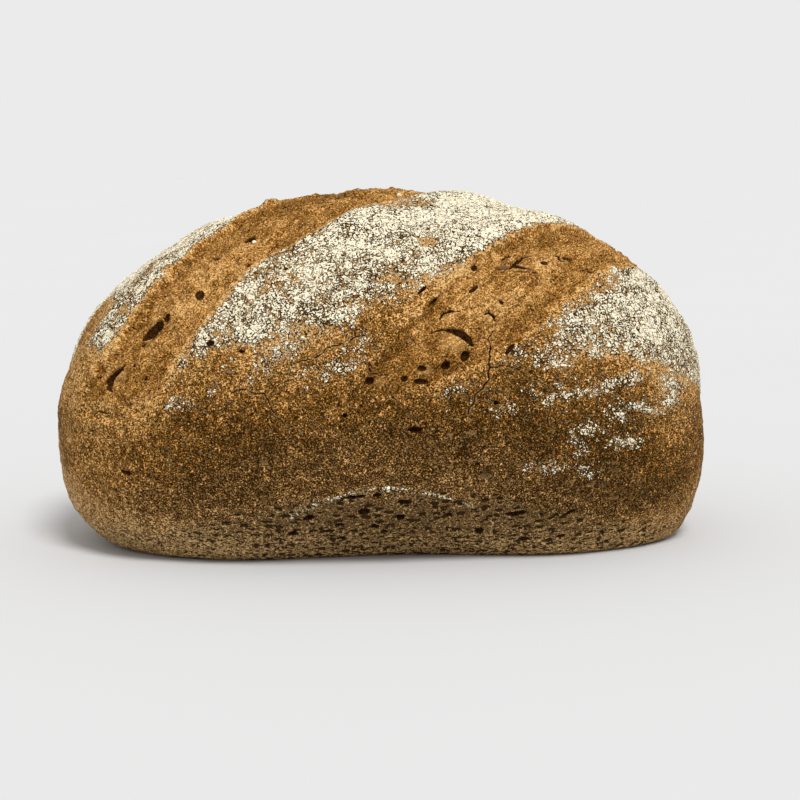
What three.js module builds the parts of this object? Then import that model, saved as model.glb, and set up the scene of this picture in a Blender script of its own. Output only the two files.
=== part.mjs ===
// A whole wheat loaf, baked free-standing on a stone: one solid piece of bread with a flat base,
// a belly that overhangs the base, a domed top and three diagonal cuts that opened in the oven.
// Millimetres, +Z up. X runs along the loaf, and the side at -Y is its front.
// The origin is the middle of the base.
import * as THREE from "three";
import { mergeVertices } from "three/addons/utils/BufferGeometryUtils.js";

// Size of the loaf
const LENGTH = 250;
const WIDTH = 146;
const HEIGHT = 134;
const BELLY_HEIGHT = 42; // the widest level, above the base

// Form of the loaf. The exponents square off a curve as they grow: 2 is an ellipse.
const PLAN_EXPONENT = 2.6;
const DOME_EXPONENT = 2.33;
const SHOULDER_EXPONENT = 2;
const SHOULDER_LOPSIDED = 0.25; // the shoulder at +X is squarer than the one at -X
const UNDERSIDE_EXPONENT = 3.2;
const UNDERSIDE_SHOULDER = 2.3;
const UNDERSIDE_DEPTH = 66; // how far below the belly the underside would close if it had no base
const UNDERSIDE_LOPSIDED = 0.11; // the lower corner at +X is tighter than the one at -X
const BASE_NARROWING = 0.16; // the base's width lost against the belly's
const BASE_EDGE = 0.05; // rounding between underside and base, as a share of BELLY_HEIGHT

// The underside is drawn in along the middle of its front, where the dough lifted off the stone.
const COVE_DEPTH = 11;
const COVE_HALF_LENGTH = 70;
const COVE_TOP = 30;

// Girth angles are in degrees round the loaf's long axis: 0 at the crest, -90 down the front.
const AXIS_HEIGHT = 50;
const GIRTH_MM_PER_DEGREE = 1.35;

// The cuts. Each one crosses the crest at crestX and sweeps back along X as it goes down a side.
// Its half width is tip plus a swelling that is widest at the angle bulgeAt.
const CUTS = [
  { crestX: -6.5, sweep: 90, turn: 1, from: -88, to: 80, tip: 10, bulge: 20, bulgeAt: 0, spread: 42 },
  { crestX: 110, sweep: 170, turn: 0.5, from: -86, to: 14, tip: 0, bulge: 24, bulgeAt: -60, spread: 95 },
  { crestX: -108, sweep: 160, turn: 0.5, from: -14, to: 84, tip: 0, bulge: 23, bulgeAt: 58, spread: 92 },
];
const CUT_LEAN = 0.7; // a cut's width across itself, as a share of its width along X
const CUT_STEP = 2.3; // the drop from the crust to the opened dough
const CUT_STEP_WIDTH = 4;
const CUT_FILL = 1.8; // how far the opened dough rises again towards the middle of a cut
const CUT_FILL_WIDTH = 17;
const LIP_HEIGHT = 0.9; // the crust's raised lip along a cut
const LIP_WIDTH = 9;

// Uneven swelling of the dough: each is a wave with its height and its wavelengths.
const SWELLS = [
  { height: 0.5, alongX: 96, alongY: 71, phase: 0.6 },
  { height: 0.4, alongX: 57, alongY: -49, phase: 2.1 },
  { height: 0.3, alongX: -34, alongY: 83, phase: 4.4 },
];

// Faces of the mesh along the length, width and height
const FACES_ALONG = [52, 22, 18];

const HALVINGS = 40; // of the search for the surface along a ray
const FURTHEST = LENGTH; // no surface lies further from the loaf's middle
const SLOPE_STEP = 0.5; // for measuring the surface's slope

const clamp = THREE.MathUtils.clamp;
const smoothstep = THREE.MathUtils.smoothstep;

function smoothMax(a, b, blend) {
  const h = Math.max(blend - Math.abs(a - b), 0) / blend;
  return Math.max(a, b) + (h * h * blend) / 4;
}

// Below 0 inside the plain loaf, without its cuts and swells, and above 0 outside it.
function plainLoaf(x, y, z) {
  const along = clamp(x / (LENGTH / 2), -1.2, 1.2);
  const rise = z - BELLY_HEIGHT;
  const sunk = clamp(-rise / BELLY_HEIGHT, 0, 1.2);
  const halfWidth = (WIDTH / 2) * (1 - BASE_NARROWING * sunk ** 2);
  const plan =
    (Math.abs(along) ** PLAN_EXPONENT + Math.abs(y / halfWidth) ** PLAN_EXPONENT) **
    (1 / PLAN_EXPONENT);
  if (rise >= 0) {
    const shoulder = SHOULDER_EXPONENT + SHOULDER_LOPSIDED * along;
    return plan ** shoulder + (rise / (HEIGHT - BELLY_HEIGHT)) ** DOME_EXPONENT - 1;
  }
  const depth = UNDERSIDE_DEPTH * (1 + UNDERSIDE_LOPSIDED * along);
  const side = plan ** UNDERSIDE_SHOULDER + (-rise / depth) ** UNDERSIDE_EXPONENT - 1;
  return smoothMax(side, -z / BELLY_HEIGHT, BASE_EDGE);
}

// Where the ray from the loaf's middle towards a direction meets the plain loaf.
function surfaceAlong(direction) {
  const middle = new THREE.Vector3(0, 0, BELLY_HEIGHT);
  const point = new THREE.Vector3();
  let near = 0;
  let far = FURTHEST;
  for (let i = 0; i < HALVINGS; i++) {
    const distance = (near + far) / 2;
    point.copy(direction).multiplyScalar(distance).add(middle);
    if (plainLoaf(point.x, point.y, point.z) < 0) near = distance;
    else far = distance;
  }
  return point;
}

function outwardAt(point) {
  const slope = (dx, dy, dz) =>
    plainLoaf(point.x + dx, point.y + dy, point.z + dz) -
    plainLoaf(point.x - dx, point.y - dy, point.z - dz);
  return new THREE.Vector3(
    slope(SLOPE_STEP, 0, 0),
    slope(0, SLOPE_STEP, 0),
    slope(0, 0, SLOPE_STEP),
  ).normalize();
}

// How far a point lies inside a cut, measured from the cut's edge, and below 0 outside it.
function depthInCut(cut, x, girth) {
  const middle = cut.crestX + cut.sweep * Math.sin(THREE.MathUtils.degToRad(girth * cut.turn));
  const halfWidth = cut.tip + cut.bulge * Math.exp(-(((girth - cut.bulgeAt) / cut.spread) ** 2));
  const fromSides = (halfWidth - Math.abs(x - middle)) * CUT_LEAN;
  const fromEnds = Math.min(girth - cut.from, cut.to - girth) * GIRTH_MM_PER_DEGREE;
  return -smoothMax(-fromSides, -fromEnds, LIP_WIDTH);
}

// Height of the crust near a cut's edge: a lip outside, a step down and a rounded filling inside.
function cutRelief(inside) {
  if (inside < 0) return LIP_HEIGHT * Math.exp(inside / LIP_WIDTH);
  const step = CUT_STEP * smoothstep(inside, 0, CUT_STEP_WIDTH);
  return LIP_HEIGHT - step + CUT_FILL * smoothstep(inside, CUT_STEP_WIDTH, CUT_FILL_WIDTH);
}

function swell(x, y, z) {
  let height = 0;
  for (const wave of SWELLS) {
    const turns = x / wave.alongX + (y + z) / wave.alongY;
    height += wave.height * Math.sin(2 * Math.PI * turns + wave.phase);
  }
  return height;
}

// How far the front of the underside is drawn back towards the middle.
function cove(point) {
  const along = Math.min(Math.abs(point.x) / COVE_HALF_LENGTH, 1);
  const below = 1 - smoothstep(point.z, 0, COVE_TOP);
  return COVE_DEPTH * (1 - along ** 2) ** 2 * below * smoothstep(-point.y, 0, WIDTH / 2);
}

function relief(point) {
  const girth = THREE.MathUtils.radToDeg(Math.atan2(point.y, point.z - AXIS_HEIGHT));
  const inside = Math.max(...CUTS.map((cut) => depthInCut(cut, point.x, girth)));
  const raised = smoothstep(point.z, 0, BELLY_HEIGHT);
  return raised * (cutRelief(inside) + swell(point.x, point.y, point.z));
}

// A box's faces are drawn out onto the loaf, and the tangent keeps them about even in size.
function loafGeometry() {
  const box = mergeVertices(stripped(new THREE.BoxGeometry(2, 2, 2, ...FACES_ALONG)));
  const place = box.getAttribute("position");
  const half = [LENGTH / 2, WIDTH / 2, HEIGHT / 2];
  const even = (share) => Math.tan((share * Math.PI) / 4);
  for (let i = 0; i < place.count; i++) {
    const direction = new THREE.Vector3(
      even(place.getX(i)) * half[0],
      even(place.getY(i)) * half[1],
      even(place.getZ(i)) * half[2],
    ).normalize();
    const point = surfaceAlong(direction);
    point.addScaledVector(outwardAt(point), relief(point));
    point.y += cove(point);
    place.setXYZ(i, point.x, point.y, point.z);
  }
  return fitted(box);
}

function stripped(geometry) {
  geometry.deleteAttribute("normal");
  geometry.deleteAttribute("uv");
  return geometry;
}

// Brings the uneven loaf to its stated size, with the middle of its base at the origin.
function fitted(geometry) {
  geometry.computeBoundingBox();
  const size = geometry.boundingBox.getSize(new THREE.Vector3());
  geometry.scale(LENGTH / size.x, WIDTH / size.y, HEIGHT / size.z);
  geometry.computeBoundingBox();
  const { min, max } = geometry.boundingBox;
  geometry.translate(-(min.x + max.x) / 2, -(min.y + max.y) / 2, -min.z);
  geometry.computeVertexNormals();
  return geometry;
}

const crust = new THREE.MeshStandardMaterial({ color: 0xa8723c, roughness: 0.85, metalness: 0 });

const loaf = new THREE.Mesh(loafGeometry(), crust);
loaf.name = "loaf";

const bread = new THREE.Group();
bread.add(loaf);

export default bread;
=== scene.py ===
"""A whole wheat loaf: its crust, the floury top, the opened cuts and the porous underside.

Shapes are worked out in millimetres and become metres when a mesh is made. The loaf's surface
is described twice: as points in space, and as a plan unrolled round its long axis, where x runs
along the loaf and s runs round it, from 0 on the crest to negative values down the front.
"""

import math

import bpy
import numpy as np
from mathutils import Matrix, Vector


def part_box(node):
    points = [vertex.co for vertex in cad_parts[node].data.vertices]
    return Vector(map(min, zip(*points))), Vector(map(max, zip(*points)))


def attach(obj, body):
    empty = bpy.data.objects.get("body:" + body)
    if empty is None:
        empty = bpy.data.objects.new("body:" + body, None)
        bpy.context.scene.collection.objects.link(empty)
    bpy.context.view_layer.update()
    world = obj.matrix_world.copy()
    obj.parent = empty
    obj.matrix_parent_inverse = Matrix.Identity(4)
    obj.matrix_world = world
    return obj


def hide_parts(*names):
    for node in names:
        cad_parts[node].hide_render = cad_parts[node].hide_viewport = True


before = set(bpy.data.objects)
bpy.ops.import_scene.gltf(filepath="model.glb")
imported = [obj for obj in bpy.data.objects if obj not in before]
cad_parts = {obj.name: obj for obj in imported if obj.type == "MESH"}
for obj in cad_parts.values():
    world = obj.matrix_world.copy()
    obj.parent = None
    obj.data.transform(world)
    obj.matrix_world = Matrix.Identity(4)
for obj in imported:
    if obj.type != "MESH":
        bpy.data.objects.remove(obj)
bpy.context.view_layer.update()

MM = 0.001
rng = np.random.default_rng(1847)

# ---------------------------------------------------------------- the loaf's form

CAD_LOW, CAD_HIGH = (np.array(corner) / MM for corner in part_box("loaf"))
LENGTH, WIDTH, HEIGHT = CAD_HIGH - CAD_LOW
BELLY_HEIGHT = 42.0
PLAN_EXPONENT = 2.6
DOME_EXPONENT = 2.33
SHOULDER_EXPONENT = 2.0
SHOULDER_LOPSIDED = 0.25
UNDERSIDE_EXPONENT = 3.2
UNDERSIDE_SHOULDER = 2.3
UNDERSIDE_DEPTH = 66.0
UNDERSIDE_LOPSIDED = 0.11
BASE_NARROWING = 0.16
BASE_EDGE = 0.05
COVE_DEPTH = 11.0
COVE_HALF_LENGTH = 70.0
COVE_TOP = 30.0
AXIS_HEIGHT = 50.0
GIRTH_MM = 1.35  # a degree round the axis, on the surface
OVERSHOOT = 1.2  # how far past its ends the form's formula still holds, in half sizes
MIDDLE = np.array([0, 0, BELLY_HEIGHT])
HALF_SIZE = np.array([LENGTH, WIDTH, HEIGHT]) / 2

# Each cut crosses the crest at crest_x and sweeps back along x as it goes down a side.
CUTS = [
    dict(crest_x=-6.5, sweep=90, turn=1, start=-88, end=80, tip=10, bulge=20, at=0, spread=42),
    dict(crest_x=110, sweep=170, turn=0.5, start=-86, end=14, tip=0, bulge=24, at=-60, spread=95),
    dict(crest_x=-108, sweep=160, turn=0.5, start=26, end=84, tip=0, bulge=23, at=58, spread=92),
]
# How far to the left a cut's edges lie of the edges that its curve gives: (s, mm to the left)
LEFT_EDGES = [
    [(-120, 10), (-85, 9), (-75, 8), (-62, 8.5), (-50, 8.5), (-36, 6), (-15, 3.5), (0, 2)],
    [(0, 0)],
    [(0, 0)],
]
RIGHT_EDGES = [
    [(-112, 5), (-95, 1.5), (-85, 1.7), (-75, 3), (-66, 3), (-58, 5), (-50, 5.5), (-45, 2.5), (-38, 0),
     (-30, 0), (-22, -2.5), (-10, -5), (20, 0)],
    [(-115, 24), (-105, 18), (-100, 14), (-95, 7), (-85, 0)],
    [(0, 0)],
]
CUT_LEAN = 0.7
CUT_STEP = 2.3
CUT_STEP_WIDTH = 2.6
CUT_FILL = 1.8
CUT_FILL_WIDTH = 17.0
LIP_HEIGHT = 0.9
LIP_WIDTH = 9.0
SWELLS = [
    dict(height=0.5, along_x=96, along_y=71, phase=0.6),
    dict(height=0.4, along_x=57, along_y=-49, phase=2.1),
    dict(height=0.3, along_x=-34, along_y=83, phase=4.4),
]

GRID = ((500, 270, 240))  # faces along the length, width, height
CRUST_FACES = 198_000  # triangles left in the crust
DETAIL_WEIGHT = 0.5  # how readily the mesh is thinned near holes and edges, against 1 elsewhere
HALVINGS = 26  # of the search for the surface along a ray
SLOPE_STEP = 0.5  # for measuring the surface's slope


def smoothstep(value, low, high):
    share = np.clip((value - low) / (high - low), 0, 1)
    return share * share * (3 - 2 * share)


def smooth_max(a, b, blend):
    overlap = np.maximum(blend - np.abs(a - b), 0) / blend
    return np.maximum(a, b) + overlap**2 * blend / 4


def knots(points, at):
    where, value = zip(*points)
    return np.interp(at, where, value)


def plain_loaf(points):
    """Below 0 inside the loaf without its cuts and swells, and above 0 outside it."""
    x, y, z = points.T
    along = np.clip(x / (LENGTH / 2), -OVERSHOOT, OVERSHOOT)
    rise = z - BELLY_HEIGHT
    sunk = np.clip(-rise / BELLY_HEIGHT, 0, OVERSHOOT)
    half_width = WIDTH / 2 * (1 - BASE_NARROWING * sunk**2)
    plan = np.abs(along) ** PLAN_EXPONENT + np.abs(y / half_width) ** PLAN_EXPONENT
    plan = plan ** (1 / PLAN_EXPONENT)
    above = rise >= 0
    shoulder = np.where(above, SHOULDER_EXPONENT + SHOULDER_LOPSIDED * along, UNDERSIDE_SHOULDER)
    depth = UNDERSIDE_DEPTH * (1 + UNDERSIDE_LOPSIDED * along)
    reach = np.where(above, HEIGHT - BELLY_HEIGHT, depth)
    round_off = np.where(above, DOME_EXPONENT, UNDERSIDE_EXPONENT)
    side = plan**shoulder + np.abs(rise / reach) ** round_off - 1
    return np.where(above, side, smooth_max(side, -z / BELLY_HEIGHT, BASE_EDGE))


def surface_along(directions, middle):
    """Where rays from the middle meet the plain loaf."""
    near = np.zeros(len(directions))
    far = np.full(len(directions), LENGTH)
    for _ in range(HALVINGS):
        distance = (near + far) / 2
        inside = plain_loaf(middle + directions * distance[:, None]) < 0
        near = np.where(inside, distance, near)
        far = np.where(inside, far, distance)
    return middle + directions * near[:, None]


def outward_at(points):
    slope = np.empty_like(points)
    for axis in range(3):
        shift = np.zeros(3)
        shift[axis] = SLOPE_STEP
        slope[:, axis] = plain_loaf(points + shift) - plain_loaf(points - shift)
    return slope / np.linalg.norm(slope, axis=1)[:, None]


def box_grid(counts):
    """A closed box of quads with shared vertices: whole-number places, and faces facing out."""
    nx, ny, nz = counts
    places, quads, offset = [], [], 0
    sides = [  # along, across, the fixed axis, its value, and whether the order turns over
        (0, 2, 1, 0, False),
        (0, 2, 1, ny, True),
        (0, 1, 2, 0, True),
        (0, 1, 2, nz, False),
        (1, 2, 0, 0, True),
        (1, 2, 0, nx, False),
    ]
    for first, second, fixed, value, turned in sides:
        na, nb = counts[first], counts[second]
        a, b = np.meshgrid(np.arange(na + 1), np.arange(nb + 1), indexing="ij")
        place = np.zeros((a.size, 3), np.int64)
        place[:, first] = a.ravel()
        place[:, second] = b.ravel()
        place[:, fixed] = value
        index = np.arange(a.size).reshape(a.shape) + offset
        quad = np.stack([index[:-1, :-1], index[1:, :-1], index[1:, 1:], index[:-1, 1:]], -1)
        quads.append(quad.reshape(-1, 4)[:, ::-1 if turned else 1])
        places.append(place)
        offset += a.size
    places = np.concatenate(places)
    key = (places[:, 0] * (ny + 1) + places[:, 1]) * (nz + 1) + places[:, 2]
    _, first, shared = np.unique(key, return_index=True, return_inverse=True)
    return places[first] / np.array(counts), shared.ravel()[np.concatenate(quads)]


def girth_of(points):
    return np.degrees(np.arctan2(points[:, 1], points[:, 2] - AXIS_HEIGHT))


def depth_in_cut(cut, left_edge, right_edge, x, girth):
    """How far a point lies inside a cut, and where it lies across the cut."""
    middle = cut["crest_x"] + cut["sweep"] * np.sin(np.radians(girth * cut["turn"]))
    swelling = np.exp(-(((girth - cut["at"]) / cut["spread"]) ** 2))
    half_width = cut["tip"] + cut["bulge"] * swelling
    left = knots(left_edge, girth * GIRTH_MM) / 2
    right = knots(right_edge, girth * GIRTH_MM) / 2
    middle = middle - left - right
    half_width = half_width + left - right
    across = (x - middle) * CUT_LEAN
    from_sides = half_width * CUT_LEAN - np.abs(across)
    from_ends = np.minimum(girth - cut["start"], cut["end"] - girth) * GIRTH_MM
    return -smooth_max(-from_sides, -from_ends, LIP_WIDTH), across


def cut_relief(inside):
    lip = LIP_HEIGHT * np.exp(np.minimum(inside, 0) / LIP_WIDTH)
    step = CUT_STEP * smoothstep(inside, 0, CUT_STEP_WIDTH)
    return lip - step + CUT_FILL * smoothstep(inside, CUT_STEP_WIDTH, CUT_FILL_WIDTH)


def swell(points):
    x, y, z = points.T
    height = np.zeros(len(points))
    for wave in SWELLS:
        turns = x / wave["along_x"] + (y + z) / wave["along_y"]
        height += wave["height"] * np.sin(2 * np.pi * turns + wave["phase"])
    return height


def cove(points):
    along = np.minimum(np.abs(points[:, 0]) / COVE_HALF_LENGTH, 1)
    below = 1 - smoothstep(points[:, 2], 0, COVE_TOP)
    return COVE_DEPTH * (1 - along**2) ** 2 * below * smoothstep(-points[:, 1], 0, WIDTH / 2)


# ---------------------------------------------------------------- noise, as Blender makes it


def noise(scale, detail=2.0, roughness=0.5, output="Factor"):
    inputs = {"Scale": scale, "Detail": detail, "Roughness": roughness}
    return "ShaderNodeTexNoise", output, {}, inputs


def cells(scale, feature="F1", output="Distance", flat=False):
    settings = {"voronoi_dimensions": "2D" if flat else "3D", "feature": feature}
    return "ShaderNodeTexVoronoi", output, settings, {"Scale": scale}


def output_of(node, name):
    """A node's output by its name. A noise's value is called Factor or Fac."""
    return next(o for o in node.outputs if o.name in (name, {"Factor": "Fac"}.get(name)))


def sampled(points, **textures):
    """The values of textures at points, as a dict of arrays."""
    mesh = bpy.data.meshes.new("samples")
    mesh.vertices.add(len(points))
    mesh.vertices.foreach_set("co", points.astype(np.float32).ravel())
    tree = bpy.data.node_groups.new("sampler", "GeometryNodeTree")
    for way in ("INPUT", "OUTPUT"):
        tree.interface.new_socket("Geometry", in_out=way, socket_type="NodeSocketGeometry")
    flow = tree.nodes.new("NodeGroupInput").outputs[0]
    place = tree.nodes.new("GeometryNodeInputPosition").outputs[0]
    for name, (kind, output, settings, inputs) in textures.items():
        texture = tree.nodes.new(kind)
        for key, value in settings.items():
            setattr(texture, key, value)
        for key, value in inputs.items():
            texture.inputs[key].default_value = value
        tree.links.new(place, texture.inputs["Vector"])
        store = tree.nodes.new("GeometryNodeStoreNamedAttribute")
        store.data_type = "FLOAT_VECTOR" if output == "Color" else "FLOAT"
        store.inputs["Name"].default_value = name
        tree.links.new(output_of(texture, output), store.inputs["Value"])
        tree.links.new(flow, store.inputs["Geometry"])
        flow = store.outputs["Geometry"]
    tree.links.new(flow, tree.nodes.new("NodeGroupOutput").inputs[0])
    carrier = bpy.data.objects.new("samples", mesh)
    bpy.context.scene.collection.objects.link(carrier)
    carrier.modifiers.new("sampler", "NODES").node_group = tree
    bpy.context.view_layer.update()
    result = carrier.evaluated_get(bpy.context.evaluated_depsgraph_get()).data
    values = {}
    for name, (_, output, _, _) in textures.items():
        width = 3 if output == "Color" else 1
        value = np.empty(len(points) * width, np.float32)
        key = "vector" if width == 3 else "value"
        result.attributes[name].data.foreach_get(key, value)
        values[name] = value.reshape(-1, 3) if width == 3 else value
    bpy.data.objects.remove(carrier)
    bpy.data.meshes.remove(mesh)
    bpy.data.node_groups.remove(tree)
    return values


# Scales are in waves or cells a mm. These are both in the crust's mesh and in its material.
WIDTHS = noise(0.2, 2)
GRIT = noise(0.42, 3)
GRAIN3 = noise(0.9, 3, 0.6)
GRAIN6 = noise(2.0, 0)
FOLD = noise(1.0, 3, 0.55)
WARP_SCALE, WARP_MM = 0.5, 1.6
CRACKLE_SCALE = 0.7  # cells of the dried flour
SPLIT_SCALE = 0.28  # and of the longer splits through it
PLATE_SCALE = 0.16
PORE_CELLS = (0.27, 0.5, 0.0)  # pores a mm along x and round the loaf
PORE_WARP_SCALE, PORE_WARP = 0.22, 0.45
# Sizes of pores: cells, share of porous that is open, painted shade's darkness, and radius: least and
# added, in cells
PORE_LAYERS = [
    (0.75, 0.85, 1.0, 0.2, 0.22),
    (1.5, 1.0, 1.0, 0.18, 0.2),
    (2.7, 1.0, 1.0, 0.18, 0.18),
    (4.8, 0.9, 0.85, 0.18, 0.16),
]
PORE_RIM = 0.05  # from a pore's edge to its full depth, in cells
PORE_DEPTH = 1.3


def warped(points):
    shift = sampled(points, warp=noise(WARP_SCALE, output="Color"))["warp"]
    return points + (shift - 0.5) * WARP_MM


# ---------------------------------------------------------------- what the photo shows, in x and s

# Flour lies above this line on the front, given as (x, s), and s is the lowest dense flour.
FLOUR_LIMIT = [
    (-130, -56), (-103, -64), (-62, -85), (-38, -83), (-20, -80), (0, -68), (12, -62), (20, -59),
    (34, -62), (38, -88), (72, -91), (90, -90), (105, -94), (130, -98),
]
# Flour reaches this x on the left end of the loaf, given as (x, s).
FLOUR_END = [
    (-104, -5), (-103, -38), (-105, -44), (-109, -50), (-114, -62), (-119, -76), (-119, -100),
]
BACK_LIMIT = 84.0  # s of the lowest dense flour on the back
DUST_STRENGTH = 0.65
LINE_STRENGTH = 0.72
MOST_FLOUR = 1.15
# How thick the flour lies from the front, over the crest at 0, to the back, given as (s, density)
FLOUR_DEPTH = [(-100, 0.62), (-75, 0.66), (-55, 0.74), (-30, 1.02), (0, 1.15), (60, 1.0), (100, 0.75)]

# Patches of flour below the limit, and of bare crust above it, where the strength is negative:
# x, s, half length, half width, tilt in degrees from x, strength
FLOUR_PATCHES = [
    (-71.5, -86, 13, 5, 55, 0.4), (-77.5, -90, 12, 2.6, 59, 0.6), (-80, -107.8, 7, 4, 5, 0.66),
    (-77, -91, 4, 3, 0, -0.25), (-84, -105.5, 3, 3, 0, -0.3), (-58, -93, 4, 8, -10, -0.8),
    (-15, -87, 8, 3, 15, 0.52), (-22, -95, 11, 4, 12, 0.56), (-38, -89, 9, 4, 20, 0.38),
    (-50, -94, 9, 6, 20, 0.5), (-32, -101, 12, 4, 5, 0.3), (-29.5, -69.5, 4, 2, 20, -0.35),
    (-25, -77, 8, 3, 10, 0.2), (-63.5, -80, 4, 3.5, 60, -0.4), (-59, -66, 11, 4, 58, 0.19),
    (-53, -83.5, 7, 3, 10, 0.25), (-46, -71, 4, 5, 0, 0.25), (-67, -84, 5, 3, 20, 0.3),
    (-15, -85, 7, 3, 20, -0.15), (-53, -81, 8, 4, 20, 0.35), (-4, -61.8, 5, 2.2, 25, -0.5),
    (11.5, -46, 5, 4, 30, -0.4), (-17.5, -72.5, 5, 2, 10, -0.3), (-12, -64, 6, 3, 30, 0.25),
    (-35, -71, 6, 4, 30, 0.3), (-23.5, -77, 5, 3, 20, 0.3), (13.5, -20, 7, 5, 20, -0.45),
    (34, -33, 5, 3.5, 30, -0.2), (30, -45, 9, 5, 45, 0.25), (61, -70, 17, 5.5, 48, -0.42),
    (50, -91, 13, 4.5, 10, 0.24), (53.5, -84, 7, 4, 30, -0.42), (62, -76.5, 6, 4, 40, 0.36),
    (34, -93.5, 4, 3, 20, -0.3), (77, -55, 11, 5, 45, -0.42), (93, -68, 16, 20, 60, 0.22),
    (36, -92, 7, 4, 30, 0.45), (-8, -12, 12, 4, 10, -0.5), (0, -22, 11, 6, 25, -0.65),
    (-42, -58, 22, 8, 40, -0.16), (20, -10, 8, 3, 0, -0.5), (57, -95, 11, 3, 8, 0.3),
    (18, -105, 8, 2.6, 20, 0.66), (47, -105, 6, 4, 20, 0.28), (36, -113, 6, 3, 10, 0.5),
    (55.5, -108.3, 11, 2.6, 24, 0.54), (75.5, -103.7, 14, 3.4, 25, 0.58), (72, -96, 11, 4, 10, -0.7),
    (102, -110, 7, 6, 0, 0.7), (104, -100.5, 8, 4, -15, 0.66), (83.5, -99.5, 7, 4, 10, 0.4),
    (80, -114.5, 5, 5, 0, 0.75), (90, -113.5, 8, 2.2, -25, 0.85), (68, -121.6, 8, 3.2, -5, 0.64),
    (78.4, -128.2, 6, 4, -20, 0.6), (86, -128.8, 5, 4, 20, 0.6), (62, -126.5, 4, 2, 0, 0.55),
    (66, -131, 3, 3, 0, 0.55), (53, -136.5, 12, 3, -4, 0.58), (67.7, -141, 5, 2.4, 0, 0.42),
    (-107, -65, 7, 5, 60, 0.5), (-105, -71, 6, 3.5, 60, 0.5), (-99, -54, 12, 4, 60, -0.25),
    (-84, -28, 24, 6, 40, -0.45),
]
DUST_PATCHES = [  # thin dust round the patches
    (-60, -98, 30, 16, 10, 0.3), (-20, -92, 36, 12, 12, 0.32), (70, -112, 42, 20, -15, 0.3),
    (30, -108, 24, 8, 20, 0.26), (105, -112, 20, 26, 0, 0.3), (-100, -60, 20, 24, 40, 0.3),
    (60, -136, 26, 8, -5, 0.26),
]
FLOUR_LINES = [  # thin strands of flour above the porous underside: half width, then (x, s)
    (1.5, [(-40, -154.5), (-36, -151.5), (-31, -148.7), (-26, -146.5)]),
    (1.0, [(-26, -146.5), (-19, -144.3), (-11.5, -142.2), (-3.4, -141.5), (4.5, -142.9)]),
    (0.8, [(7.3, -144.2), (12.7, -145.1), (18.5, -147.5), (23.7, -150), (29, -152.5)]),
]

# Where the crust is made darker, or paler below 0: x, s, half length, half width, tilt, tone
TONE_PATCHES = [
    (-4, -90, 20, 10, 35, 0.2), (-28, -14, 26, 12, 30, 0.12), (-86, -52, 16, 4, 50, 0.1),
    (-60, -48, 16, 5, 50, -0.08), (30, -72, 12, 8, 0, -0.07), (-78, -113, 5, 5, 0, 0.25),
    (22, -128, 2.2, 5, 0, 0.5), (10, -118, 30, 6, 0, 0.06), (43, -102, 15, 8, 0, 0.36),
    (50, -90, 12, 7, 10, 0.3), (8, -103, 12, 5, 0, -0.2), (41, -68, 12, 6, 40, -0.12),
    (54, -70, 9, 6, 45, -0.16), (52, -36, 14, 8, 30, 0.15), (64, -61, 12, 7, 50, 0.18),
    (-70, -96, 14, 8, 20, 0.12), (-22, -90, 16, 10, 20, 0.14), (57, -95, 12, 5, 10, 0.14),
    (-96, -156, 20, 8, 0, 0.14), (-96, -122, 20, 12, 0, -0.08), (-78, -160, 22, 10, 0, 0.12),
    (96, -164, 20, 12, 0, 0.24), (40, -146, 16, 7, 0, 0.14), (100, -142, 14, 12, 0, -0.16),
    (28, -130, 16, 8, 0, 0.1), (104, -125, 10, 16, 0, -0.14), (-66, -62, 10, 5, 60, 0.12),
    (-100, -108, 12, 14, 0, -0.08), (96, -125, 14, 14, 0, -0.12), (80, -138, 26, 12, 0, 0.24),
    (75, -166, 40, 14, 0, 0.2),
]
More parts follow.
